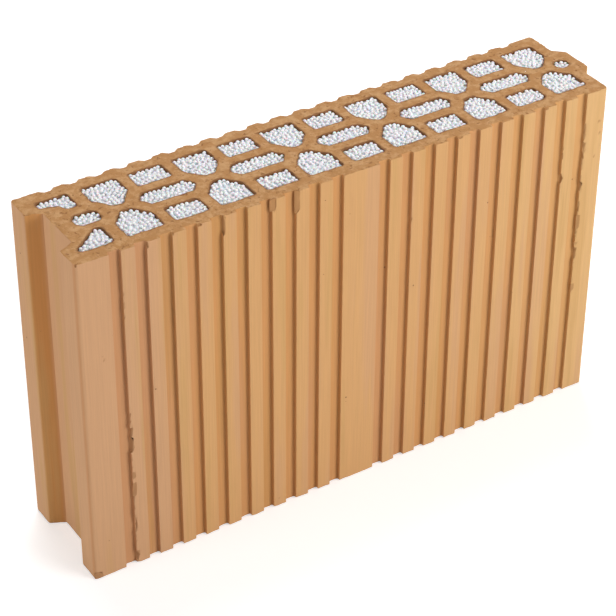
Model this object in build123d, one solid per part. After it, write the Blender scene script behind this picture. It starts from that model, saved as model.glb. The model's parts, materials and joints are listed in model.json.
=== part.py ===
"""Insulated ring beam block: ribbed fired-clay body with cells filled by bonded-bead insulation plugs.

Millimetres. X runs along the block from the recessed end to the tongue end, Y from the
visible ribbed face to the other one, Z up along the cells and ribs. The origin is the
middle of the bounding box in plan and the bottom bed in height.
"""
import os

from build123d import *

os.makedirs("parts", exist_ok=True)

# Body
body_length = 375.0  # lug ends to shoulders
body_depth = 80.0
body_height = 230.0
corner_radius = 2.5

# Tongue on the right end, symmetric about the middle of the depth
tongue_reach = 6.8  # beyond the shoulders
tongue_root = 36.0
tongue_tip = 22.0
tongue_corner_radius = 1.2

# Recess in the left end, which takes the tongue of the next block
recess_end_gap = 3.0  # clearance past the tongue's tip
recess_root_gap = 4.1  # clearance beside the tongue's root, each side
recess_tip_gap = 6.3  # clearance beside the tongue's tip, each side
recess_depth = tongue_reach + recess_end_gap
recess_mouth = tongue_root + 2 * recess_root_gap
recess_floor = tongue_tip + 2 * recess_tip_gap
lug_corner_radius = 2.2  # where the end of a lug meets the recess

# Ribs of the front face; the groove in the middle of the face is left out
front_band_left = 21.3  # plain face before the first groove
front_band_right = 16.3  # plain face after the last groove
front_groove_count = 21
front_groove_missing = 10
front_groove_width = 7.6
front_groove_depth = 2.5
front_groove_steep = 0.5  # run of the wall on the left
front_groove_slope = 0.2  # run of the wall on the right
front_groove_radius = 0.8  # at the foot of that wall
front_groove_pitch = (body_length - front_band_left - front_band_right - front_groove_width) / (front_groove_count - 1)

# Grooves of the back face, lower and more like a wave
back_groove_inset_left = 23.2  # lug ends to the middle of the first groove
back_groove_inset_right = 22.3  # shoulders to the middle of the last one
back_groove_count = 21
back_groove_mouth = 9.6
back_groove_floor = 3.8
back_groove_depth = 2.4
back_groove_pitch = (body_length - back_groove_inset_left - back_groove_inset_right) / (back_groove_count - 1)

# Cells
shell = 10.5  # clay between a face and the nearest row of cells
tip_web = 7.6  # clay between the tips of facing pointed cells
row_web = 7.5  # clay between a square cell and the long cell beside it
pointed_inset_left = 51.3  # lug ends to the middle of the first pointed cell
pointed_inset_right = 20.7  # shoulders to the middle of the last one
pointed_count = 6
pointed_width = 23.6
pointed_side = 15.3  # length of its straight side
pointed_tip = 6.6
square_width = 22.4
long_width = 37.3
long_depth = 13.3
long_flat = 28.0  # width of its straight side
cell_radius = 2.2
cell_pitch = (body_length - pointed_inset_left - pointed_inset_right) / (pointed_count - 1)

small_wall = 10.4  # clay between the recess and the small cell
small_width = 16.8
small_depth = 12.0
small_chamfer = 3.0

tongue_wall = 8.0  # clay between the end of the tongue and its cell
tongue_cell = 9.6
tongue_cell_chamfer = 2.7

end_web = 8.4  # clay between a first pointed cell and the end cell beside it
hook_width = 21.0
hook_arm = 6.6  # depth of the arm that reaches over the recess
hook_foot = 15.2
hook_foot_width = 7.0
wedge_width = 22.4
wedge_depth = 17.6
wedge_toe = 3.4
wedge_flat = 4.6

# Insulation plugs
plug_gap = 0.15  # each side, between beads and clay
plug_recess = 2.2  # below either bed

mid_depth = body_depth / 2
pointed_depth = mid_depth - shell - tip_web / 2
square_depth = mid_depth - shell - long_depth / 2 - row_web
first_pointed_left = pointed_inset_left - pointed_width / 2
end_cell_right = first_pointed_left - end_web
to_frame = Location((-(body_length + tongue_reach) / 2, -mid_depth, 0))


def closed(points):
    return make_face(Polyline(*points, close=True))


def rounded(points, radius):
    face = closed(points)
    return fillet(face.vertices(), radius)


def to_back(points):
    return [(x, body_depth - y) for x, y in points]


def pointed_cell(x):
    half, tip, low = pointed_width / 2, pointed_tip / 2, shell
    return [
        (x - half, low), (x + half, low), (x + half, low + pointed_side),
        (x + tip, low + pointed_depth), (x - tip, low + pointed_depth), (x - half, low + pointed_side),
    ]


def square_cell(x):
    half, low, high = square_width / 2, shell, shell + square_depth
    return [(x - half, low), (x + half, low), (x + half, high), (x - half, high)]


def long_cell(x):
    half, flat, deep = long_width / 2, long_flat / 2, long_depth / 2
    return [
        (x - half, mid_depth), (x - flat, mid_depth - deep), (x + flat, mid_depth - deep),
        (x + half, mid_depth), (x + flat, mid_depth + deep), (x - flat, mid_depth + deep),
    ]


def chamfered_cell(left, width, depth, cut):
    low, high, right = mid_depth - depth / 2, mid_depth + depth / 2, left + width
    return [
        (left + cut, low), (right - cut, low), (right, low + cut), (right, high - cut),
        (right - cut, high), (left + cut, high), (left, high - cut), (left, low + cut),
    ]


pointed_xs = [pointed_inset_left + cell_pitch * i for i in range(pointed_count)]
square_xs = [x + cell_pitch / 2 for x in pointed_xs[:-1]]

wedge_left = end_cell_right - wedge_width
wedge = [
    (wedge_left, shell), (end_cell_right, shell), (end_cell_right, shell + wedge_depth),
    (end_cell_right - wedge_flat, shell + wedge_depth), (wedge_left, shell + wedge_toe),
]
hook_left = end_cell_right - hook_width
hook = [
    (hook_left, shell), (end_cell_right, shell), (end_cell_right, shell + hook_foot),
    (end_cell_right - hook_foot_width, shell + hook_foot),
    (end_cell_right - hook_foot_width - 3.5, shell + hook_arm + 2), (hook_left, shell + hook_arm),
]

# Cells of each row from the recessed end to the tongue end
front_row, back_row = [wedge], [to_back(hook)]
for i in range(pointed_count):
    front_row.append(pointed_cell(pointed_xs[i]))
    if i < len(square_xs):
        front_row.append(square_cell(square_xs[i]))
back_row += [to_back(points) for points in front_row[1:]]

small_cell = chamfered_cell(recess_depth + small_wall, small_width, small_depth, small_chamfer)
tongue_cell_left = body_length + tongue_reach - tongue_wall - tongue_cell
last_cell = chamfered_cell(tongue_cell_left, tongue_cell, tongue_cell, tongue_cell_chamfer)
middle_row = [small_cell] + [long_cell(x) for x in square_xs] + [last_cell]

# Outline of the clay in plan
outline = rounded([(0, 0), (body_length, 0), (body_length, body_depth), (0, body_depth)], corner_radius)

recess = closed([
    (-1, mid_depth - recess_mouth / 2), (0, mid_depth - recess_mouth / 2),
    (recess_depth, mid_depth - recess_floor / 2), (recess_depth, mid_depth + recess_floor / 2),
    (0, mid_depth + recess_mouth / 2), (-1, mid_depth + recess_mouth / 2),
])

tongue = closed([
    (body_length - 1, mid_depth - tongue_root / 2), (body_length, mid_depth - tongue_root / 2),
    (body_length + tongue_reach, mid_depth - tongue_tip / 2),
    (body_length + tongue_reach, mid_depth + tongue_tip / 2),
    (body_length, mid_depth + tongue_root / 2), (body_length - 1, mid_depth + tongue_root / 2),
])
tongue = fillet(tongue.vertices().group_by(Axis.X)[-1], tongue_corner_radius)

section = outline - recess
lug_corners = [
    v for v in section.vertices()
    if abs(v.X) < 0.01 and abs(abs(v.Y - mid_depth) - recess_mouth / 2) < 0.01
]
section = fillet(lug_corners, lug_corner_radius) + tongue

for k in range(front_groove_count):
    if k == front_groove_missing:
        continue
    left = front_band_left + front_groove_pitch * k
    right = left + front_groove_width
    groove = closed([
        (left, -1), (left, 0), (left + front_groove_steep, front_groove_depth),
        (right - front_groove_slope, front_groove_depth), (right, 0), (right, -1),
    ])
    foot = groove.vertices().group_by(Axis.Y)[-1].sort_by(Axis.X)[-1]
    section -= fillet(foot, front_groove_radius)

for k in range(back_groove_count):
    x = back_groove_inset_left + back_groove_pitch * k
    mouth, floor, foot = back_groove_mouth / 2, back_groove_floor / 2, body_depth - back_groove_depth
    section -= closed([
        (x - mouth, body_depth + 1), (x - mouth, body_depth), (x - floor, foot),
        (x + floor, foot), (x + mouth, body_depth), (x + mouth, body_depth + 1),
    ])

rows = {"front": front_row, "middle": middle_row, "back": back_row}
for cells in rows.values():
    for points in cells:
        section -= rounded(points, cell_radius)

clay = to_frame * extrude(section, amount=body_height)
export_step(clay, "parts/clay_block.step")

# One plug for each cell
for row_name, cells in rows.items():
    for number, points in enumerate(cells, start=1):
        face = offset(rounded(points, cell_radius), -plug_gap)
        plug = extrude(face, amount=body_height - 2 * plug_recess)
        plug = to_frame * Location((0, 0, plug_recess)) * plug
        export_step(plug, f"parts/bead_fill_{row_name}_{number:02d}.step")
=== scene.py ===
import json
import math

import bpy
import numpy as np
from mathutils import Matrix, Vector
from mathutils.geometry import delaunay_2d_cdt

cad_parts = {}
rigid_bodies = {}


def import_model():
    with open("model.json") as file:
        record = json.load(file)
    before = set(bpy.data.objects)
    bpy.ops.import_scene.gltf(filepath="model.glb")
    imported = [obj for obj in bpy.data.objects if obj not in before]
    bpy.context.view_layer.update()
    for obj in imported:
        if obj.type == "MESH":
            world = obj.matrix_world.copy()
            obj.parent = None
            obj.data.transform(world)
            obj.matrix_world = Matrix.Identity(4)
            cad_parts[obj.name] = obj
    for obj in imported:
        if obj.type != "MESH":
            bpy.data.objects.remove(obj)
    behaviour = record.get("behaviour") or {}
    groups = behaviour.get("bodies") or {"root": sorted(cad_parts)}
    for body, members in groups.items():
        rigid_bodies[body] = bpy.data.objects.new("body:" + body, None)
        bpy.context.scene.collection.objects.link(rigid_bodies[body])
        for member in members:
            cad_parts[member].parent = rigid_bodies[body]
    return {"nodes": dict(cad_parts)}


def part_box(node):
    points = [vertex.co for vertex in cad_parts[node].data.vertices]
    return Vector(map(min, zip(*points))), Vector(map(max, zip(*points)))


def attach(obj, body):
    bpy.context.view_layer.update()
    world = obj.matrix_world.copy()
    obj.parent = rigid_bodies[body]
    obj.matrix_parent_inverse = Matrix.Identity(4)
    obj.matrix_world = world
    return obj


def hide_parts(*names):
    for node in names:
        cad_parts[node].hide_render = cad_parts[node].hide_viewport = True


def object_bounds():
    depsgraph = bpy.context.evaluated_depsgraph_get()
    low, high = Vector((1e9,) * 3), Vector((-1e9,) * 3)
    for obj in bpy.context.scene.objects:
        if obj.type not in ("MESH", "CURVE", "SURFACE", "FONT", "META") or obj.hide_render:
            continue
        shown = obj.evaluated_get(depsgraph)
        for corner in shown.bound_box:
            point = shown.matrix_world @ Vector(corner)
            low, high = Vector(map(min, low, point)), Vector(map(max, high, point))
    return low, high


# Insulated ring beam block: the clay body gets its cut beds, arrises, chips and torn rib edges,
# and every cell gets a layer of loose beads on its plug. Metres, in the frame of the solids.

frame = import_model()
cadBounds = [list(corner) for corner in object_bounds()]
mm = 0.001
boxLow, boxHigh = (np.array(corner) for corner in cadBounds)
height = boxHigh[2]
plugNames = sorted(name for name in frame["nodes"] if name.startswith("bead_fill"))


# Noise and small helpers

hashKeys = {
    "axes": np.array([73856093, 19349663, 83492791]),
    "seed": 9176263,
    "first": 1274126177,
    "second": 668265263,
}


def latticeNoise(points, size, seed):
    # Random values from -1 to 1 on a lattice of the given size, joined by the curve 3t^2 - 2t^3 along each axis;
    # the value at a lattice point is a hash of its whole numbers and the seed
    scaled = points / size
    cell = np.floor(scaled).astype(np.int64)
    blend = scaled - cell
    blend = blend * blend * (3 - 2 * blend)
    total = np.zeros(len(points))
    for corner in range(8):
        offset = np.array([corner & 1, corner >> 1 & 1, corner >> 2 & 1])
        key = (cell + offset) @ hashKeys["axes"] + seed * hashKeys["seed"]
        key = (key ^ (key >> 13)) * hashKeys["first"] & 0xFFFFFFFF
        key = (key ^ (key >> 16)) * hashKeys["second"] & 0xFFFFFFFF
        value = (key ^ (key >> 15)) % 65536 / 32767.5 - 1
        total += value * np.prod(np.where(offset, blend, 1 - blend), axis=1)
    return total


def layeredNoise(points, size, seed, layers=3):
    # Lattice noise added up, with the size and the weight halved for each further layer, over the sum of weights
    total, weight, whole = np.zeros(len(points)), 1.0, 0.0
    for layer in range(layers):
        total += weight * latticeNoise(points, size / 2 ** layer, seed + layer)
        whole += weight
        weight /= 2
    return total / whole


def smoothStep(low, high, value):
    # 3t^2 - 2t^3 with t running from 0 at low to 1 at high
    t = np.clip((value - low) / (high - low), 0, 1)
    return t * t * (3 - 2 * t)


def batches(count):
    # The numbers from 0 to count in runs of about 2000, so that a table of distances stays small
    return np.array_split(np.arange(count), max(1, count // 2000))


def meshFrom(name, points, quads, triangles):
    # A mesh object from arrays of points, four-cornered faces and three-cornered faces, all smooth
    mesh = bpy.data.meshes.new(name)
    quads, triangles = np.asarray(quads, dtype=np.int32), np.asarray(triangles, dtype=np.int32)
    corners = np.concatenate([quads.ravel(), triangles.ravel()])
    counts = np.concatenate([np.full(len(quads), 4), np.full(len(triangles), 3)])
    starts = np.concatenate([[0], np.cumsum(counts)[:-1]])
    mesh.vertices.add(len(points))
    mesh.vertices.foreach_set("co", np.ascontiguousarray(points, dtype=np.float32).ravel())
    mesh.loops.add(len(corners))
    mesh.loops.foreach_set("vertex_index", corners.astype(np.int32))
    mesh.polygons.add(len(counts))
    mesh.polygons.foreach_set("loop_start", starts.astype(np.int32))
    mesh.polygons.foreach_set("use_smooth", np.ones(len(counts), dtype=bool))
    mesh.update(calc_edges=True)
    mesh.validate()
    made = bpy.data.objects.new(name, mesh)
    bpy.context.scene.collection.objects.link(made)
    return made


# Section of the clay, read from the solid

def sectionOf(node):
    # The border of the top bed as points and directed edges with the clay on their left
    mesh = frame["nodes"][node].data
    mesh.calc_loop_triangles()
    places = np.empty(len(mesh.vertices) * 3, dtype=np.float32)
    mesh.vertices.foreach_get("co", places)
    matrix = np.array(frame["nodes"][node].matrix_world)
    places = places.reshape(-1, 3).astype(float) @ matrix[:3, :3].T + matrix[:3, 3]
    triangles = np.empty(len(mesh.loop_triangles) * 3, dtype=np.int32)
    mesh.loop_triangles.foreach_get("vertices", triangles)
    triangles = triangles.reshape(-1, 3)
    onTop = np.all(places[triangles][:, :, 2] > height - 1e-5, axis=1)
    rounded, index = np.unique(np.round(places[:, :2] / 1e-6).astype(np.int64), axis=0, return_inverse=True)
    triangles = index.reshape(-1)[triangles[onTop]]
    first, second, third = (rounded[triangles[:, i]] * 1e-6 for i in range(3))
    area = np.cross(second - first, third - first)
    triangles[area < 0] = triangles[area < 0][:, ::-1]
    edges = np.concatenate([triangles[:, [0, 1]], triangles[:, [1, 2]], triangles[:, [2, 0]]])
    code = edges[:, 0] * len(rounded) + edges[:, 1]
    reverse = edges[:, 1] * len(rounded) + edges[:, 0]
    edges = edges[~np.isin(code, reverse)]
    used, edges = np.unique(edges, return_inverse=True)
    return rounded[used] * 1e-6, edges.reshape(-1, 2)


def loopOf(edges, count):
    # The lowest index on each point's own loop, found by letting the labels jump twice as far in each round
    label, ahead = np.arange(count), np.arange(count)
    ahead[edges[:, 0]] = edges[:, 1]
    while True:
        better = np.minimum(label, label[ahead])
        ahead = ahead[ahead]
        if np.array_equal(better, label):
            return label
        label = better


def thinned(points, edges, limit):
    # Fine arcs with fewer points: where the two edges at a point are together shorter than its limit, it is left
    # out if its random draw is higher than that of both its neighbours, and so on in six rounds
    rng = np.random.default_rng(7)
    for _ in range(6):
        ahead, behind = np.empty(len(points), dtype=int), np.empty(len(points), dtype=int)
        ahead[edges[:, 0]], behind[edges[:, 1]] = edges[:, 1], edges[:, 0]
        length = np.linalg.norm(points[ahead] - points, axis=1)
        draw = np.where(length + length[behind] < limit, rng.uniform(0.1, 1, len(points)), 0)
        gone = (draw > draw[ahead]) & (draw > draw[behind])
        ahead[behind[gone]] = ahead[gone]
        kept, index = np.flatnonzero(~gone), np.cumsum(~gone) - 1
        points, limit = points[kept], limit[kept]
        edges = np.stack([index[kept], index[ahead[kept]]], axis=1)
    return points, edges


def divideEdges(points, edges, spacing):
    # Each edge cut into equal runs no longer than its own spacing
    start, end = points[edges[:, 0]], points[edges[:, 1]]
    parts = np.maximum(1, np.ceil(np.linalg.norm(end - start, axis=1) / spacing - 0.01)).astype(int)
    owner = np.repeat(np.arange(len(edges)), parts)
    step = np.arange(len(owner)) - np.repeat(np.cumsum(parts) - parts, parts)
    part = (step / parts[owner])[:, None]
    places = start[owner] * (1 - part) + end[owner] * part
    newIndex = len(points) + np.cumsum(step > 0) - 1
    index = np.where(step == 0, edges[owner, 0], newIndex)
    following = np.append(index[1:], 0)
    following = np.where(step == parts[owner] - 1, edges[owner, 1], following)
    return np.concatenate([points, places[step > 0]]), np.stack([index, following], axis=1)


def insideOf(places, points, edges):
    # True where a ray along X crosses the edges an odd number of times
    start, end = points[edges[:, 0]], points[edges[:, 1]]
    inside = np.zeros(len(places), dtype=bool)
    for part in batches(len(places)):
        x, y = places[part, 0][:, None], places[part, 1][:, None]
        spans = (start[:, 1] > y) != (end[:, 1] > y)
        rise = np.where(end[:, 1] == start[:, 1], 1, end[:, 1] - start[:, 1])
        slope = (end[:, 0] - start[:, 0]) / rise
        inside[part] = np.sum(spans & (x < start[:, 0] + (y - start[:, 1]) * slope), axis=1) % 2 == 1
    return inside


def nearestGap(places, points):
    # Distance from each place to the nearest of the points
    gap = np.empty(len(places))
    for part in batches(len(places)):
        gap[part] = np.sqrt(((places[part][:, None] - points[None]) ** 2).sum(axis=2).min(axis=1))
    return gap


# Clay body

clay = {
    "frontDepth": 4.0 * mm,  # from the front face to where the front spacing ends
    "frontSpacing": 1.4 * mm,
    "backSpacing": 4.0 * mm,
    "cellSpacing": 1.5 * mm,
    "outerArc": 0.55 * mm,  # longest pair of edges that is made one on a fine arc
    "cellArc": 1.0 * mm,
    "rowSpacing": 2.2 * mm,
    "edgeRows": np.array([0, 0.5, 1.1, 1.9, 2.9, 4.2, 5.8]) * mm,
    "cellRows": np.array([0, 0.5, 1.2, 2.4, 5.0]) * mm,
    "topGrain": 1.6 * mm,
    "bottomGrain": 3.2 * mm,
    "jitter": 0.32,  # of a bed's inner points, as a share of the grain
    "clearance": 0.62,  # of those points from the border, as a share of the grain
    "faceWaves": 0.07 * mm,
    "cutRelief": 0.34 * mm,
    "mouthWobble": 0.75 * mm,
    "arrisWear": 0.42 * mm,
    "wearDepth": 1.4 * mm,
    "mouthDepth": (5.0 * mm, 0.5 * mm),
    "sharpAngle": 36,
}
clayNoise = {  # size, seed and layers
    "streaks": (2.4 * mm, 11, 2),
    "swell": (14 * mm, 17, 2),
    "wear": (4.5 * mm, 23, 3),
    "mouths": (4.2 * mm, 31, 2),
    "grains": (3.1 * mm, 41, 3),
    "pits": (5.2 * mm, 47, 2),
}


def bedOf(points, edges, grain, seed):
    # Triangles that fill the section, on its border and a jittered grid of inner points; the triangulation works
    # in millimetres, because its tolerance is too coarse for metres
    low, high = points.min(axis=0), points.max(axis=0)
    rng = np.random.default_rng(seed)
    columns, lines = np.arange(low[0], high[0], grain), np.arange(low[1], high[1], grain)
    grid = np.stack(np.meshgrid(columns, lines), axis=-1).reshape(-1, 2)
    grid = grid + rng.uniform(-clay["jitter"], clay["jitter"], grid.shape) * grain
    grid = grid[insideOf(grid, points, edges)]
    grid = grid[nearestGap(grid, points) > clay["clearance"] * grain]
    every = np.concatenate([points, grid])
    found = delaunay_2d_cdt([Vector(p) for p in (every * 1000).tolist()], edges.tolist(), [], 1, 1e-6, False)
    places = np.array([tuple(v) for v in found[0]]) / 1000
    triangles = np.array(found[2])
    middle = places[triangles].mean(axis=1)
    return places, triangles[insideOf(middle, points, edges)]


def outwardOf(points, edges):
    # At each border point, the mean of the directions square to its edges and away from the clay
    along = points[edges[:, 1]] - points[edges[:, 0]]
    square = np.stack([along[:, 1], -along[:, 0]], axis=1)
    square /= np.linalg.norm(square, axis=1)[:, None]
    outward = np.zeros_like(points)
    np.add.at(outward, edges[:, 0], square)
    np.add.at(outward, edges[:, 1], square)
    return outward / np.maximum(np.linalg.norm(outward, axis=1), 1e-9)[:, None]


corners, cornerEdges = sectionOf("clay_block")
cornerLoop = loopOf(cornerEdges, len(corners))
longest = np.where(cornerLoop == cornerLoop[np.argmin(corners[:, 0])], clay["outerArc"], clay["cellArc"])
corners, cornerEdges = thinned(corners, cornerEdges, longest)
cornerLoop = loopOf(cornerEdges, len(corners))
inCell = cornerLoop[cornerEdges[:, 0]] != cornerLoop[np.argmin(corners[:, 0])]
inFront = corners[cornerEdges][:, :, 1].mean(axis=1) < boxLow[1] + clay["frontDepth"]
outerSpacing = np.where(inFront, clay["frontSpacing"], clay["backSpacing"])
spacing = np.where(inCell, clay["cellSpacing"], outerSpacing)
border, borderEdges = divideEdges(corners, cornerEdges, spacing)
outward = outwardOf(border, borderEdges)
print("section:", len(corners), "corners,", len(border), "border points")


def bodyOf(topPlan, topFaces, bottomPlan, bottomFaces, outerIds, cellIds):
    # One closed surface: both beds, the outer wall in even rows, and the cell walls in rows close to the beds;
    # also the direction away from the clay at each point of a wall or border, and nought inside a bed
    outerDepths = np.arange(clay["edgeRows"][-1], height - clay["edgeRows"][-1], clay["rowSpacing"])
    outerDepths = np.concatenate([clay["edgeRows"], outerDepths[1:], height - clay["edgeRows"][::-1]])
    cellDepths = np.concatenate([clay["cellRows"], height - clay["cellRows"][::-1]])
    places = [np.column_stack([topPlan, np.full(len(topPlan), height)]),
              np.column_stack([bottomPlan, np.zeros(len(bottomPlan))])]
    squares = [np.zeros((len(topPlan), 2)), np.zeros((len(bottomPlan), 2))]
    squares[0][:len(border)] = squares[1][:len(border)] = outward
    quads, count = [], len(topPlan) + len(bottomPlan)
    for ids, depths in ((outerIds, outerDepths), (cellIds, cellDepths)):
        rows = np.full((len(depths), len(border)), -1)
        rows[0, ids], rows[-1, ids] = ids, len(topPlan) + ids
        inner = depths[1:-1]
        rows[1:-1, ids] = count + np.arange(len(inner) * len(ids)).reshape(len(inner), -1)
        count += len(inner) * len(ids)
        heights = np.repeat(height - inner, len(ids))
        places.append(np.column_stack([np.tile(border[ids], (len(inner), 1)), heights]))
        squares.append(np.tile(outward[ids], (len(inner), 1)))
        edges = borderEdges[np.isin(borderEdges[:, 0], ids)]
        start, end = rows[:, edges[:, 0]], rows[:, edges[:, 1]]
        quads.append(np.stack([start[1:], end[1:], end[:-1], start[:-1]], axis=-1).reshape(-1, 4))
    triangles = np.concatenate([topFaces, bottomFaces[:, ::-1] + len(topPlan)])
    return np.concatenate(places), np.concatenate(squares), np.concatenate(quads), triangles


def upward(plan, faces):
    # Faces turned so that each runs anticlockwise seen from above
    first, second, third = (plan[faces[:, i]] for i in range(3))
    turned = np.cross(second - first, third - first) < 0
    faces[turned] = faces[turned][:, ::-1]
    return faces


def roughen(places, squares, outerWall, cellWall):
    # Faces get shallow upright waves, beds get the relief of a wire cut, arrises wear back and cell mouths wander
    made = places.copy()
    gap = np.minimum(places[:, 2], height - places[:, 2])
    streaks = layeredNoise(places * [1, 1, 0.03], *clayNoise["streaks"])
    swell = layeredNoise(places * [1, 1, 0.25], *clayNoise["swell"])
    inward = clay["faceWaves"] * (1 + 0.5 * streaks + 0.5 * swell)
    wear = 0.25 + smoothStep(-0.2, 0.7, layeredNoise(places, *clayNoise["wear"]))
    worn = smoothStep(clay["wearDepth"], 0, gap) * wear
    inward = inward + clay["arrisWear"] * worn
    wander = layeredNoise(places * [1, 1, 0.5], *clayNoise["mouths"]) - 0.1
    mouth = -clay["mouthWobble"] * wander * smoothStep(*clay["mouthDepth"], gap)
    shift = np.where(outerWall, inward, 0) + np.where(cellWall, mouth, 0)
    made[:, :2] -= squares * shift[:, None]
    onBed = gap < 1e-7
    grains = layeredNoise(places, *clayNoise["grains"])
    pits = smoothStep(0.30, 0.62, layeredNoise(places, *clayNoise["pits"]))
    sunk = clay["cutRelief"] * (0.7 + 0.6 * grains + 1.5 * pits) + clay["arrisWear"] * worn * outerWall
    sunk = np.maximum(sunk, 0)
    made[:, 2] += np.where(onBed, np.where(places[:, 2] > height / 2, -sunk, sunk), 0)
    return made


def bite(places, scar, seed):
    # Points inside a box with round corners are pushed out to its surface, which is where the fourth powers of
    # the three shares of its half widths add up to 1, made rough by noise; also the share, 0 to 1, by which each
    # point is broken. The scar is x, y, z and the half widths, in mm from the lug end, front face and floor
    centre, radii = np.split(np.array(scar) * mm, 2)
    centre = centre + [boxLow[0], boxLow[1], 0]
    near = np.flatnonzero(np.all(np.abs(places - centre) < radii * 1.4, axis=1))
    away = (places[near] - centre) / radii
    length = np.maximum(np.sum(away ** 4, axis=1) ** 0.25, 1e-6)
    coarse, fine = latticeNoise(places[near], 1.7 * mm, seed), latticeNoise(places[near], 0.8 * mm, seed + 1)
    reach = 1 + 0.28 * coarse + 0.12 * fine
    made, share = places.copy(), np.zeros(len(places))
    made[near] = centre + away * (np.maximum(length, reach) / length)[:, None] * radii
    moved = np.linalg.norm(made[near] - places[near], axis=1)
    share[near] = smoothStep(0.05 * mm, 0.9 * mm, moved)
    return np.clip(made, boxLow, boxHigh), share


torn = {  # in mm, the last two as shares of a scar's size
    "step": 4.2,
    "stray": 1.6,
    "along": (-0.7, 0.5),
    "inward": (-0.5, 0.2),
    "size": (0.4, 1.0),
    "extra": 1.3,
    "deep": 0.8,
    "tall": (1.0, 2.6),
}


def tornEdge(x, low, high, seed):
    # Scars in a row along the left corner of a rib, each at its own height, size and distance from the corner
    rng = np.random.default_rng(seed)
    count = int((high - low) / torn["step"])
    heights = np.linspace(low, high, count) + rng.uniform(-torn["stray"], torn["stray"], count)
    sizes = rng.uniform(*torn["size"], count) + torn["extra"] * rng.uniform(0, 1, count) ** 2
    along, inward = x + rng.uniform(*torn["along"], count), rng.uniform(*torn["inward"], count)
    tall = sizes * rng.uniform(*torn["tall"], count)
    return np.column_stack([along, inward, heights, sizes, sizes * torn["deep"], tall])


# Broken corners and pits that the photograph shows: x, y and z in mm from the lug end, the front face and the
# floor, and the three half widths
scars = [
    (94.8, -0.2, 223, 1.5, 1.8, 8.0),
    (128.3, -0.2, 227.0, 2.0, 1.7, 5.6),
    (144.6, -0.2, 223.5, 1.7, 1.5, 9.0),
    (45.2, 0.0, 227.5, 1.6, 1.4, 2.4),
    (44.4, 0.0, 190, 1.2, 1.0, 1.5),
    (226.4, 0.0, 182, 1.0, 0.7, 1.0),
    (203.0, 0.0, 89, 0.9, 0.7, 0.9),
    (228.0, 0.0, 78, 1.0, 0.8, 1.0),
    (14.6, 0.0, 160.7, 1.0, 0.7, 1.0),
    (131.6, 0.0, 5.4, 1.1, 0.9, 1.2),
    (371.4, 0.0, 197, 1.5, 0.9, 1.5),
    (370.0, 0.0, 206, 1.4, 0.9, 1.7),
    (366.5, 0.0, 214, 1.0, 0.6, 1.1),
    (368.5, 0.0, 183, 1.1, 0.7, 1.4),
    (1.8, 0.2, 2.7, 2.9, 1.9, 2.7),
    (0.2, 0.2, 229.8, 1.3, 1.2, 1.9),
    (1.2, 62.1, 230, 1.8, 1.2, 1.1),
    (11.6, 56.9, 230, 1.6, 1.4, 1.3),
    (10.2, 43.6, 230, 1.5, 2.2, 1.2),
    (1.5, 12.8, 230, 1.8, 2.0, 1.0),
    (61.0, 0.2, 230, 2.0, 1.2, 1.6),
    (78.6, 0.2, 230, 2.4, 1.2, 1.8),
    (143.6, 0.2, 230, 2.0, 1.2, 1.8),
    (261.0, 0.2, 230, 1.8, 1.0, 1.5),
    (326.0, 0.2, 230, 2.2, 1.2, 1.7),
]

# Torn rib edges: x, the lowest and the highest point in mm, and the seed
tears = [(29.0, 0, 118, 1), (29.0, 186, 206, 2), (342.0, 169, 202, 3), (358.6, 80, 168, 4), (358.8, 168, 210, 5)]


topPlan, topFaces = bedOf(border, borderEdges, clay["topGrain"], 3)
bottomPlan, bottomFaces = bedOf(border, borderEdges, clay["bottomGrain"], 5)
borderLoop = loopOf(borderEdges, len(border))

# Which points lie on the walls of cells and which on the outer wall, in the order in which bodyOf makes them
isCell = borderLoop != borderLoop[np.argmin(border[:, 0])]
outerIds, cellIds = np.flatnonzero(~isCell), np.flatnonzero(isCell)
places, squares, quads, triangles = bodyOf(
    topPlan, upward(topPlan, topFaces), bottomPlan, upward(bottomPlan, bottomFaces), outerIds, cellIds)
cellWall = np.zeros(len(places), dtype=bool)
cellWall[cellIds] = cellWall[len(topPlan) + cellIds] = True
outerWall = np.zeros(len(places), dtype=bool)
outerWall[outerIds] = outerWall[len(topPlan) + outerIds] = True
first = len(topPlan) + len(bottomPlan)
outerCount = len(places) - first - len(cellIds) * (2 * len(clay["cellRows"]) - 2)
outerWall[first:first + outerCount] = True
cellWall[first + outerCount:] = True
shaped = roughen(places, squares, outerWall, cellWall)
# How far each point is broken; the material paints shade by this share
broken = np.zeros(len(places))
scars += [scar for tear in tears for scar in tornEdge(*tear).tolist()]
for number, scar in enumerate(scars):
    shaped, share = bite(shaped, scar, 200 + number)
    broken = np.maximum(broken, share)
body = meshFrom("clay_body", shaped, quads, triangles)
body.data.set_sharp_from_angle(angle=math.radians(clay["sharpAngle"]))
# The inside mask (every cell wall point) and the broken mask carry painted shade into the material
for mask, share in (("inside", cellWall), ("broken", broken)):
    body.data.attributes.new(mask, "FLOAT", "POINT").data.foreach_set("value", share.astype(np.float32))
print("clay body:", len(places), "points,", len(quads) * 2 + len(triangles), "triangles")

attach(body, "root")
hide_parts("clay_block")


# Beads in the mouths of the cells

beads = {
    "pitch": 2.3 * mm,  # least distance between two middles
    "tries": 30,
    "radius": (1.15 * mm, 1.42 * mm),
    "margin": 0.95 * mm,  # from a middle to the wall of the cell
    "reach": 0.8 * mm,  # from the plug's box to the wall
    "top": 0.15 * mm,  # least depth of a ball's top below the bed
    "sink": 0.45 * mm,
    "around": 9,
    "rings": 6,
}


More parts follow.
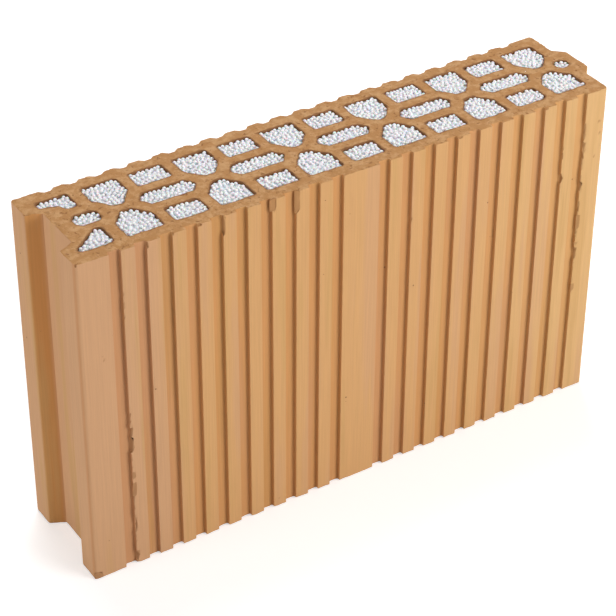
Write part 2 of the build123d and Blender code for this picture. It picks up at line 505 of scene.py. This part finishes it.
def ballShape(around, rings):
    # A ball of radius one: rings at even angles from pole to pole, with a point at each pole
    polar = np.pi * np.arange(1, rings) / rings
    turn = 2 * np.pi * np.arange(around) / around
    ring = np.stack([np.outer(np.sin(polar), np.cos(turn)), np.outer(np.sin(polar), np.sin(turn)),
                     np.outer(np.cos(polar), np.ones(around))], axis=-1).reshape(-1, 3)
    points = np.concatenate([ring, [[0, 0, 1], [0, 0, -1]]])
    index = np.arange((rings - 1) * around).reshape(rings - 1, around)
    beside = np.roll(index, -1, axis=1)
    quads = np.stack([index[:-1], index[1:], beside[1:], beside[:-1]], axis=-1).reshape(-1, 4)
    top, bottom = np.full(around, len(ring)), np.full(around, len(ring) + 1)
    triangles = np.concatenate([np.stack([top, index[0], beside[0]], axis=1),
                                np.stack([bottom, beside[-1], index[-1]], axis=1)])
    return points, quads, triangles


def scatter(low, high, edges, wall, rng):
    # Places for the balls: of many random places inside the mouth, each one that lies clear of those kept before
    count = int(np.prod((high - low) / beads["pitch"]) * beads["tries"])
    free = rng.uniform(low, high, (count, 2))
    free = free[insideOf(free, border, edges)]
    free = free[nearestGap(free, wall) > beads["margin"]]
    kept = free[:0]
    while len(free):
        kept = np.concatenate([kept, free[:1]])
        free = free[np.linalg.norm(free - free[0], axis=1) > beads["pitch"]]
    return kept


def beadsIn(name, seed):
    # A random layer of balls in both mouths of one cell, each ball a little higher or lower than the next
    rng = np.random.default_rng(seed)
    low, high = (np.array(corner)[:2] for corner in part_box(name))
    mine = isCell & np.all((border > low - beads["reach"]) & (border < high + beads["reach"]), axis=1)
    edges = borderEdges[mine[borderEdges[:, 0]]]
    centres, radii = [], []
    for side in range(2):
        spots = scatter(low, high, edges, border[mine], rng)
        size = rng.uniform(*beads["radius"], len(spots))
        depth = size + beads["top"] + rng.uniform(0, beads["sink"], len(spots))
        radii.append(size)
        centres.append(np.column_stack([spots, height - depth if side else depth]))
    centres, radii = np.concatenate(centres), np.concatenate(radii)
    shape, quads, triangles = ballShape(beads["around"], beads["rings"])
    points = centres[:, None] + shape[None] * radii[:, None, None]
    offsets = (np.arange(len(centres)) * len(shape))[:, None, None]
    quads, triangles = (quads + offsets).reshape(-1, 4), (triangles + offsets).reshape(-1, 3)
    piece = meshFrom("beads_" + name.removeprefix("bead_fill_"), points.reshape(-1, 3), quads, triangles)
    return piece, len(centres)


beadPieces, beadCount = [], 0
for number, name in enumerate(plugNames):
    piece, count = beadsIn(name, 100 + number)
    beadCount += count
    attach(piece, "root")
    beadPieces.append(piece)
print("beads:", beadCount)


# Materials

def nodeTree(name):
    # A new material with an empty node tree, and that tree
    material = bpy.data.materials.new(name)
    material.use_nodes = True
    material.node_tree.nodes.clear()
    return material, material.node_tree


def addNode(tree, kind, inputs=None, **settings):
    # A node with its settings, and each input given as a value or as the socket that feeds it
    node = tree.nodes.new(kind)
    for key, value in settings.items():
        setattr(node, key, value)
    for key, value in (inputs or {}).items():
        if isinstance(value, bpy.types.NodeSocket):
            tree.links.new(value, node.inputs[key])
        else:
            node.inputs[key].default_value = value
    return node


def noiseOf(tree, vector, scale, detail=2.0, roughness=0.5, distortion=0.0):
    # Layered noise from 0 to 1, with that many bumps a metre
    return addNode(tree, "ShaderNodeTexNoise", {
        "Vector": vector, "Scale": scale, "Detail": detail, "Roughness": roughness, "Distortion": distortion,
    }).outputs["Fac"]


def rampOf(tree, value, low, high, smooth=True):
    # 0 below the low value and 1 beyond the high one, along the curve 3t^2 - 2t^3 or a straight line
    return addNode(tree, "ShaderNodeMapRange", {"Value": value, "From Min": low, "From Max": high},
                   interpolation_type="SMOOTHSTEP" if smooth else "LINEAR", clamp=True).outputs["Result"]


def stretched(tree, vector, scale):
    # The place times a scale for each axis, so that what is drawn from it is longer where the scale is small
    return addNode(tree, "ShaderNodeMapping", {"Vector": vector, "Scale": scale}).outputs["Vector"]


def mathOf(tree, operation, *values):
    # A math node on one to three values or sockets
    return addNode(tree, "ShaderNodeMath", dict(enumerate(values)), operation=operation).outputs["Value"]


def mixOf(tree, factor, first, second, blend="MIX"):
    # first * (1 - factor) + second * factor, or with MULTIPLY the same with first * second for second
    node = addNode(tree, "ShaderNodeMix", data_type="RGBA", blend_type=blend)
    for socket, value in zip([node.inputs[0], node.inputs[6], node.inputs[7]], [factor, first, second]):
        if isinstance(value, bpy.types.NodeSocket):
            tree.links.new(value, socket)
        else:
            socket.default_value = value
    return node.outputs[2]


clayLook = {  # linear colours
    "tan": (0.615, 0.340, 0.143, 1),
    "pink": (0.580, 0.325, 0.170, 1),
    "straw": (0.640, 0.385, 0.168, 1),
    "ochre": (0.560, 0.325, 0.125, 1),
    "cut": (0.472, 0.234, 0.086, 1),
    "cutPale": (0.585, 0.330, 0.148, 1),
    # painted shade: the dark colour of the small dents
    "cutDark": (0.29, 0.125, 0.042, 1),
    "pit": (0.30, 0.15, 0.07, 1),
    # painted shade: the dark colour of the cell walls, for the gap between the balls and the clay
    "inside": (0.27, 0.125, 0.05, 1),
    # painted shade: a darker, more orange colour for the recess at the lug end
    "recess": (0.560, 0.262, 0.085, 1),
    # painted shade: the dark colour of the chipped and torn places
    "broken": (0.33, 0.15, 0.055, 1),
    # painted shade: factor that makes the grooves darker and more orange
    "groove": (0.95, 0.86, 0.77, 1),
}


clayNoises = {  # bumps a metre, detail, roughness and distortion
    "clouds": (14, 2, 0.55),
    "bands": (70, 3, 0.55),
    "streaks": (900, 3, 0.6),
    "pale": (190, 4, 0.65),
    "dark": (330, 3, 0.6, 0.4),
    "sparse": (60, 1),
    "grit": (1500, 2, 0.6),
    "bedRelief": (520, 4, 0.7),
}
clayZones = {  # each from where it starts to where it is full
    "lugs": (-100 * mm, -180 * mm),  # along X
    "tongue": (20 * mm, 240 * mm),
    "recessInner": (16.6 * mm, 18.6 * mm),  # from the middle plane, on either side
    "recessOuter": (22.8 * mm, 21.6 * mm),
    "recessEnd": (boxLow[0] + 11.4 * mm, boxLow[0] + 10.4 * mm),
    "grooveTop": (boxLow[1] + 0.3 * mm, boxLow[1] + 1.6 * mm),
    "grooveFloor": (boxLow[1] + 4 * mm, boxLow[1] + 3 * mm),
}
claySurface = {"roughness": 0.88, "specular": 0.22, "bump": 0.75, "bumpDepth": 0.7 * mm, "pits": 110}


def clayMaterial():
    # Extruded faces: pinker at the recessed end, paler towards the tongue, darker and more orange by painted
    # shade in the recess and the grooves, with upright bands, fine streaks and a few pits with painted shade. Cut
    # beds: browner, with pale and dark grains. Cell walls and broken places are darker by painted shade, by the
    # masks on the mesh
    material, tree = nodeTree("fired_clay_look")
    place = addNode(tree, "ShaderNodeTexCoord").outputs["Object"]
    axes = addNode(tree, "ShaderNodeSeparateXYZ", {"Vector": place}).outputs
    along, across = axes["X"], mathOf(tree, "ABSOLUTE", axes["Y"])
    normal = addNode(tree, "ShaderNodeNewGeometry").outputs["Normal"]
    upright = addNode(tree, "ShaderNodeSeparateXYZ", {"Vector": normal}).outputs["Z"]
    bed = rampOf(tree, mathOf(tree, "ABSOLUTE", upright), 0.35, 0.7)

    clouds = noiseOf(tree, stretched(tree, place, (1, 1, 0.4)), *clayNoises["clouds"])
    clouds = mathOf(tree, "MULTIPLY_ADD", clouds, 0.34, -0.17)
    nearLugs = mathOf(tree, "ADD", rampOf(tree, along, *clayZones["lugs"]), clouds)
    nearTongue = mathOf(tree, "ADD", rampOf(tree, along, *clayZones["tongue"]), clouds)
    skin = mixOf(tree, rampOf(tree, nearLugs, 0.0, 0.7), clayLook["tan"], clayLook["pink"])
    skin = mixOf(tree, rampOf(tree, nearTongue, 0.0, 0.8), skin, clayLook["straw"])
    # Painted shade in the recess at the lug end: darker and more orange in bands on either side of the middle
    # plane
    recess = mathOf(tree, "MULTIPLY", rampOf(tree, across, *clayZones["recessInner"]),
                    rampOf(tree, across, *clayZones["recessOuter"]))
    recess = mathOf(tree, "MULTIPLY", recess, rampOf(tree, along, *clayZones["recessEnd"]))
    skin = mixOf(tree, recess, skin, clayLook["recess"])
    bands = noiseOf(tree, stretched(tree, place, (1, 1, 0.06)), *clayNoises["bands"])
    skin = mixOf(tree, mathOf(tree, "MULTIPLY", rampOf(tree, bands, 0.50, 0.66), 0.6), skin, clayLook["pink"])
    skin = mixOf(tree, mathOf(tree, "MULTIPLY", rampOf(tree, bands, 0.46, 0.34), 0.6), skin, clayLook["ochre"])
    streaks = noiseOf(tree, stretched(tree, place, (1, 1, 0.02)), *clayNoises["streaks"])
    # Painted shade in the grooves: from 1.6 to 3 mm behind the front face the skin is multiplied by a darker,
    # more orange factor
    groove = rampOf(tree, axes["Y"], *clayZones["grooveTop"])
    groove = mathOf(tree, "MULTIPLY", groove, rampOf(tree, axes["Y"], *clayZones["grooveFloor"]))
    skin = mixOf(tree, groove, skin, mixOf(tree, 1.0, skin, clayLook["groove"], "MULTIPLY"))
    shade = mathOf(tree, "MULTIPLY_ADD", rampOf(tree, streaks, 0.25, 0.75, False), 0.12, 0.94)
    grey = addNode(tree, "ShaderNodeCombineColor", {"Red": shade, "Green": shade, "Blue": shade}).outputs["Color"]
    skin = mixOf(tree, 1.0, skin, grey, "MULTIPLY")

    pale = rampOf(tree, noiseOf(tree, place, *clayNoises["pale"]), 0.42, 0.66)
    dark = rampOf(tree, noiseOf(tree, place, *clayNoises["dark"]), 0.57, 0.72)
    cut = mixOf(tree, dark, mixOf(tree, pale, clayLook["cut"], clayLook["cutPale"]), clayLook["cutDark"])
    spots = addNode(tree, "ShaderNodeTexVoronoi", {"Vector": place, "Scale": claySurface["pits"]})
    spots = spots.outputs["Distance"]
    sparse = rampOf(tree, noiseOf(tree, place, *clayNoises["sparse"]), 0.60, 0.66)
    # Painted shade in the small dents that the relief below sinks
    pit = mathOf(tree, "MULTIPLY", rampOf(tree, spots, 0.075, 0.04), sparse)
    colour = mixOf(tree, pit, mixOf(tree, bed, skin, cut), clayLook["pit"])
    # Painted shade: the cell walls take a dark brown fully, the broken places by 0.6
    for mask, strength in (("inside", 1.0), ("broken", 0.6)):
        share = addNode(tree, "ShaderNodeAttribute", attribute_name=mask).outputs["Fac"]
        share = mathOf(tree, "MULTIPLY", rampOf(tree, share, 0.2, 1.0), strength)
        colour = mixOf(tree, share, colour, clayLook[mask])

    grit = noiseOf(tree, place, *clayNoises["grit"])
    faceRelief = mathOf(tree, "MULTIPLY_ADD", grit, 0.045, mathOf(tree, "MULTIPLY", streaks, 0.12))
    bedRelief = noiseOf(tree, place, *clayNoises["bedRelief"])
    relief = addNode(tree, "ShaderNodeMix", {0: bed, 2: faceRelief, 3: bedRelief}).outputs[0]
    relief = mathOf(tree, "SUBTRACT", relief, pit)
    bump = addNode(tree, "ShaderNodeBump", {
        "Height": relief, "Strength": claySurface["bump"], "Distance": claySurface["bumpDepth"]})
    shader = addNode(tree, "ShaderNodeBsdfPrincipled", {
        "Base Color": colour, "Roughness": claySurface["roughness"],
        "Specular IOR Level": claySurface["specular"], "Normal": bump.outputs["Normal"]})
    addNode(tree, "ShaderNodeOutputMaterial", {"Surface": shader.outputs["BSDF"]})
    return material


beadLook = {  # linear colours, the third a factor
    "ball": (0.87, 0.89, 0.92, 1),
    # painted shade: a darker, bluer foam for the plugs seen between the balls
    "shadedCore": (0.78, 0.82, 0.86, 1),
    "warmth": (1.03, 0.985, 0.965, 1),
}
beadSurface = {
    "roughness": 0.55,
    "specular": 0.4,
    "inner": 0.25,
    "innerDepth": 1 * mm,
    "patches": 240,
    "cells": 1900,
}


def foamGroup():
    # Shared by both bead materials: soft patches in which the colour is a little warmer, and a normal with the
    # dents between the cells of the foam
    group = bpy.data.node_groups.new("foam", "ShaderNodeTree")
    group.interface.new_socket("Colour", in_out="INPUT", socket_type="NodeSocketColor")
    group.interface.new_socket("Colour", in_out="OUTPUT", socket_type="NodeSocketColor")
    group.interface.new_socket("Normal", in_out="OUTPUT", socket_type="NodeSocketVector")
    plain = addNode(group, "NodeGroupInput").outputs["Colour"]
    place = addNode(group, "ShaderNodeTexCoord").outputs["Object"]
    warm = mixOf(group, 1.0, plain, beadLook["warmth"], "MULTIPLY")
    patches = rampOf(group, noiseOf(group, place, beadSurface["patches"], 2, 0.6), 0.35, 0.65)
    cells = addNode(group, "ShaderNodeTexVoronoi", {"Vector": place, "Scale": beadSurface["cells"]},
                    feature="DISTANCE_TO_EDGE")
    bump = addNode(group, "ShaderNodeBump", {
        "Height": rampOf(group, cells.outputs["Distance"], 0, 0.18), "Strength": 0.25, "Distance": 0.08 * mm})
    addNode(group, "NodeGroupOutput", {
        "Colour": mixOf(group, patches, plain, warm), "Normal": bump.outputs["Normal"]})
    return group


def beadMaterial(name, colour, group):
    # White foam that lets a little light in
    material, tree = nodeTree(name)
    foam = addNode(tree, "ShaderNodeGroup", {"Colour": colour}, node_tree=group).outputs
    shader = addNode(tree, "ShaderNodeBsdfPrincipled", {
        "Base Color": foam["Colour"], "Roughness": beadSurface["roughness"],
        "Specular IOR Level": beadSurface["specular"], "Normal": foam["Normal"],
        "Subsurface Weight": beadSurface["inner"], "Subsurface Scale": beadSurface["innerDepth"]})
    addNode(tree, "ShaderNodeOutputMaterial", {"Surface": shader.outputs["BSDF"]})
    return material


body.data.materials.append(clayMaterial())
foam = foamGroup()
ballLook = beadMaterial("bead_look", beadLook["ball"], foam)
# The plugs under the balls get the darker, bluer foam: painted shade between and under the balls
shadedPlugLook = beadMaterial("bead_core_look", beadLook["shadedCore"], foam)
for piece in beadPieces:
    piece.data.materials.append(ballLook)
for name in plugNames:
    for slot in frame["nodes"][name].material_slots:
        slot.material = shadedPlugLook
print("materials done")


# Floor, lights and camera

studio = {
    "floorSize": 14,
    "floorColour": (0.80, 0.80, 0.80, 1),
    "floorGlow": 0.5,
    "ambient": 0.22,
    "lamps": {  # azimuth and elevation in degrees, distance and size in metres, power in watts
        "key": (32, 20, 1.8, 1.2, 25.5),
        "side": (-88, 10, 1.8, 1.1, 13),
        "behind": (150, 12, 2.0, 0.5, 7),
        "above": (165, 66, 1.8, 0.9, 16),
    },
}


def shownPart(tree):
    # One for the rays that show the background itself, nought for those that light the block
    path = addNode(tree, "ShaderNodeLightPath").outputs
    direct = mathOf(tree, "MAXIMUM", path["Is Camera Ray"], path["Is Glossy Ray"])
    return mathOf(tree, "MAXIMUM", direct, path["Is Transmission Ray"])


def makeFloor():
    # A white floor that keeps the shadow: a diffuse coat with a glow only for the rays that show it
    bpy.ops.mesh.primitive_plane_add(size=studio["floorSize"], location=(0, 0, 0))
    floor = bpy.context.object
    floor.name = "floor"
    material, tree = nodeTree("floor_look")
    glow = mathOf(tree, "MULTIPLY", shownPart(tree), studio["floorGlow"])
    paint = addNode(tree, "ShaderNodeBsdfDiffuse", {"Color": studio["floorColour"]})
    light = addNode(tree, "ShaderNodeEmission", {"Color": (1, 1, 1, 1), "Strength": glow})
    both = addNode(tree, "ShaderNodeAddShader", {0: paint.outputs["BSDF"], 1: light.outputs["Emission"]})
    addNode(tree, "ShaderNodeOutputMaterial", {"Surface": both.outputs["Shader"]})
    floor.data.materials.append(material)


def makeWorld():
    # White where the camera sees it, and a dim white that lights the block from all sides
    world = bpy.data.worlds.new("studio")
    bpy.context.scene.world = world
    world.use_nodes = True
    tree = world.node_tree
    tree.nodes.clear()
    strength = addNode(tree, "ShaderNodeMapRange", {
        "Value": shownPart(tree), "To Min": studio["ambient"], "To Max": 1.0}).outputs["Result"]
    back = addNode(tree, "ShaderNodeBackground", {"Color": (1, 1, 1, 1), "Strength": strength})
    addNode(tree, "ShaderNodeOutputWorld", {"Surface": back.outputs["Background"]})


def makeLamp(name, azimuth, elevation, distance, size, power):
    # An area lamp aimed at the middle of the block, at an azimuth of 0 in front of the ribbed face and of 90 at
    # the tongue end
    turn, rise = math.radians(azimuth), math.radians(elevation)
    target = Vector((0, 0, height / 2))
    away = Vector((math.sin(turn) * math.cos(rise), -math.cos(turn) * math.cos(rise), math.sin(rise)))
    lamp = bpy.data.lights.new(name, "AREA")
    lamp.shape, lamp.size, lamp.energy = "DISK", size, power
    made = bpy.data.objects.new(name, lamp)
    aim = away.to_track_quat("Z", "Y").to_matrix().to_4x4()
    made.matrix_world = Matrix.Translation(target + away * distance) @ aim
    bpy.context.scene.collection.objects.link(made)


view = {
    "sensor": 36,
    "lens": 127.33,
    "clip": (0.05, 50),
    "place": (-0.62170, -0.94201, 0.89398),
    "right": (0.84134, -0.54049, 0.00423),
    "back": (-0.44538, -0.68882, 0.57199),
}


def makeCamera():
    # Solved from the straight edges, grooves and cells of the photograph; up is square to the right and the back
    data = bpy.data.cameras.new("camera")
    data.sensor_width, data.lens = view["sensor"], view["lens"]
    data.clip_start, data.clip_end = view["clip"]
    made = bpy.data.objects.new("camera", data)
    right, back = Vector(view["right"]), Vector(view["back"])
    up = back.cross(right)
    turn = Matrix((right, up, back)).transposed().to_4x4()
    made.matrix_world = Matrix.Translation(view["place"]) @ turn
    bpy.context.scene.collection.objects.link(made)
    bpy.context.scene.camera = made


makeFloor()
makeWorld()
for name, lamp in studio["lamps"].items():
    makeLamp(name, *lamp)
makeCamera()
bpy.context.scene.view_settings.view_transform = "Standard"
print("floor, lights and camera done")
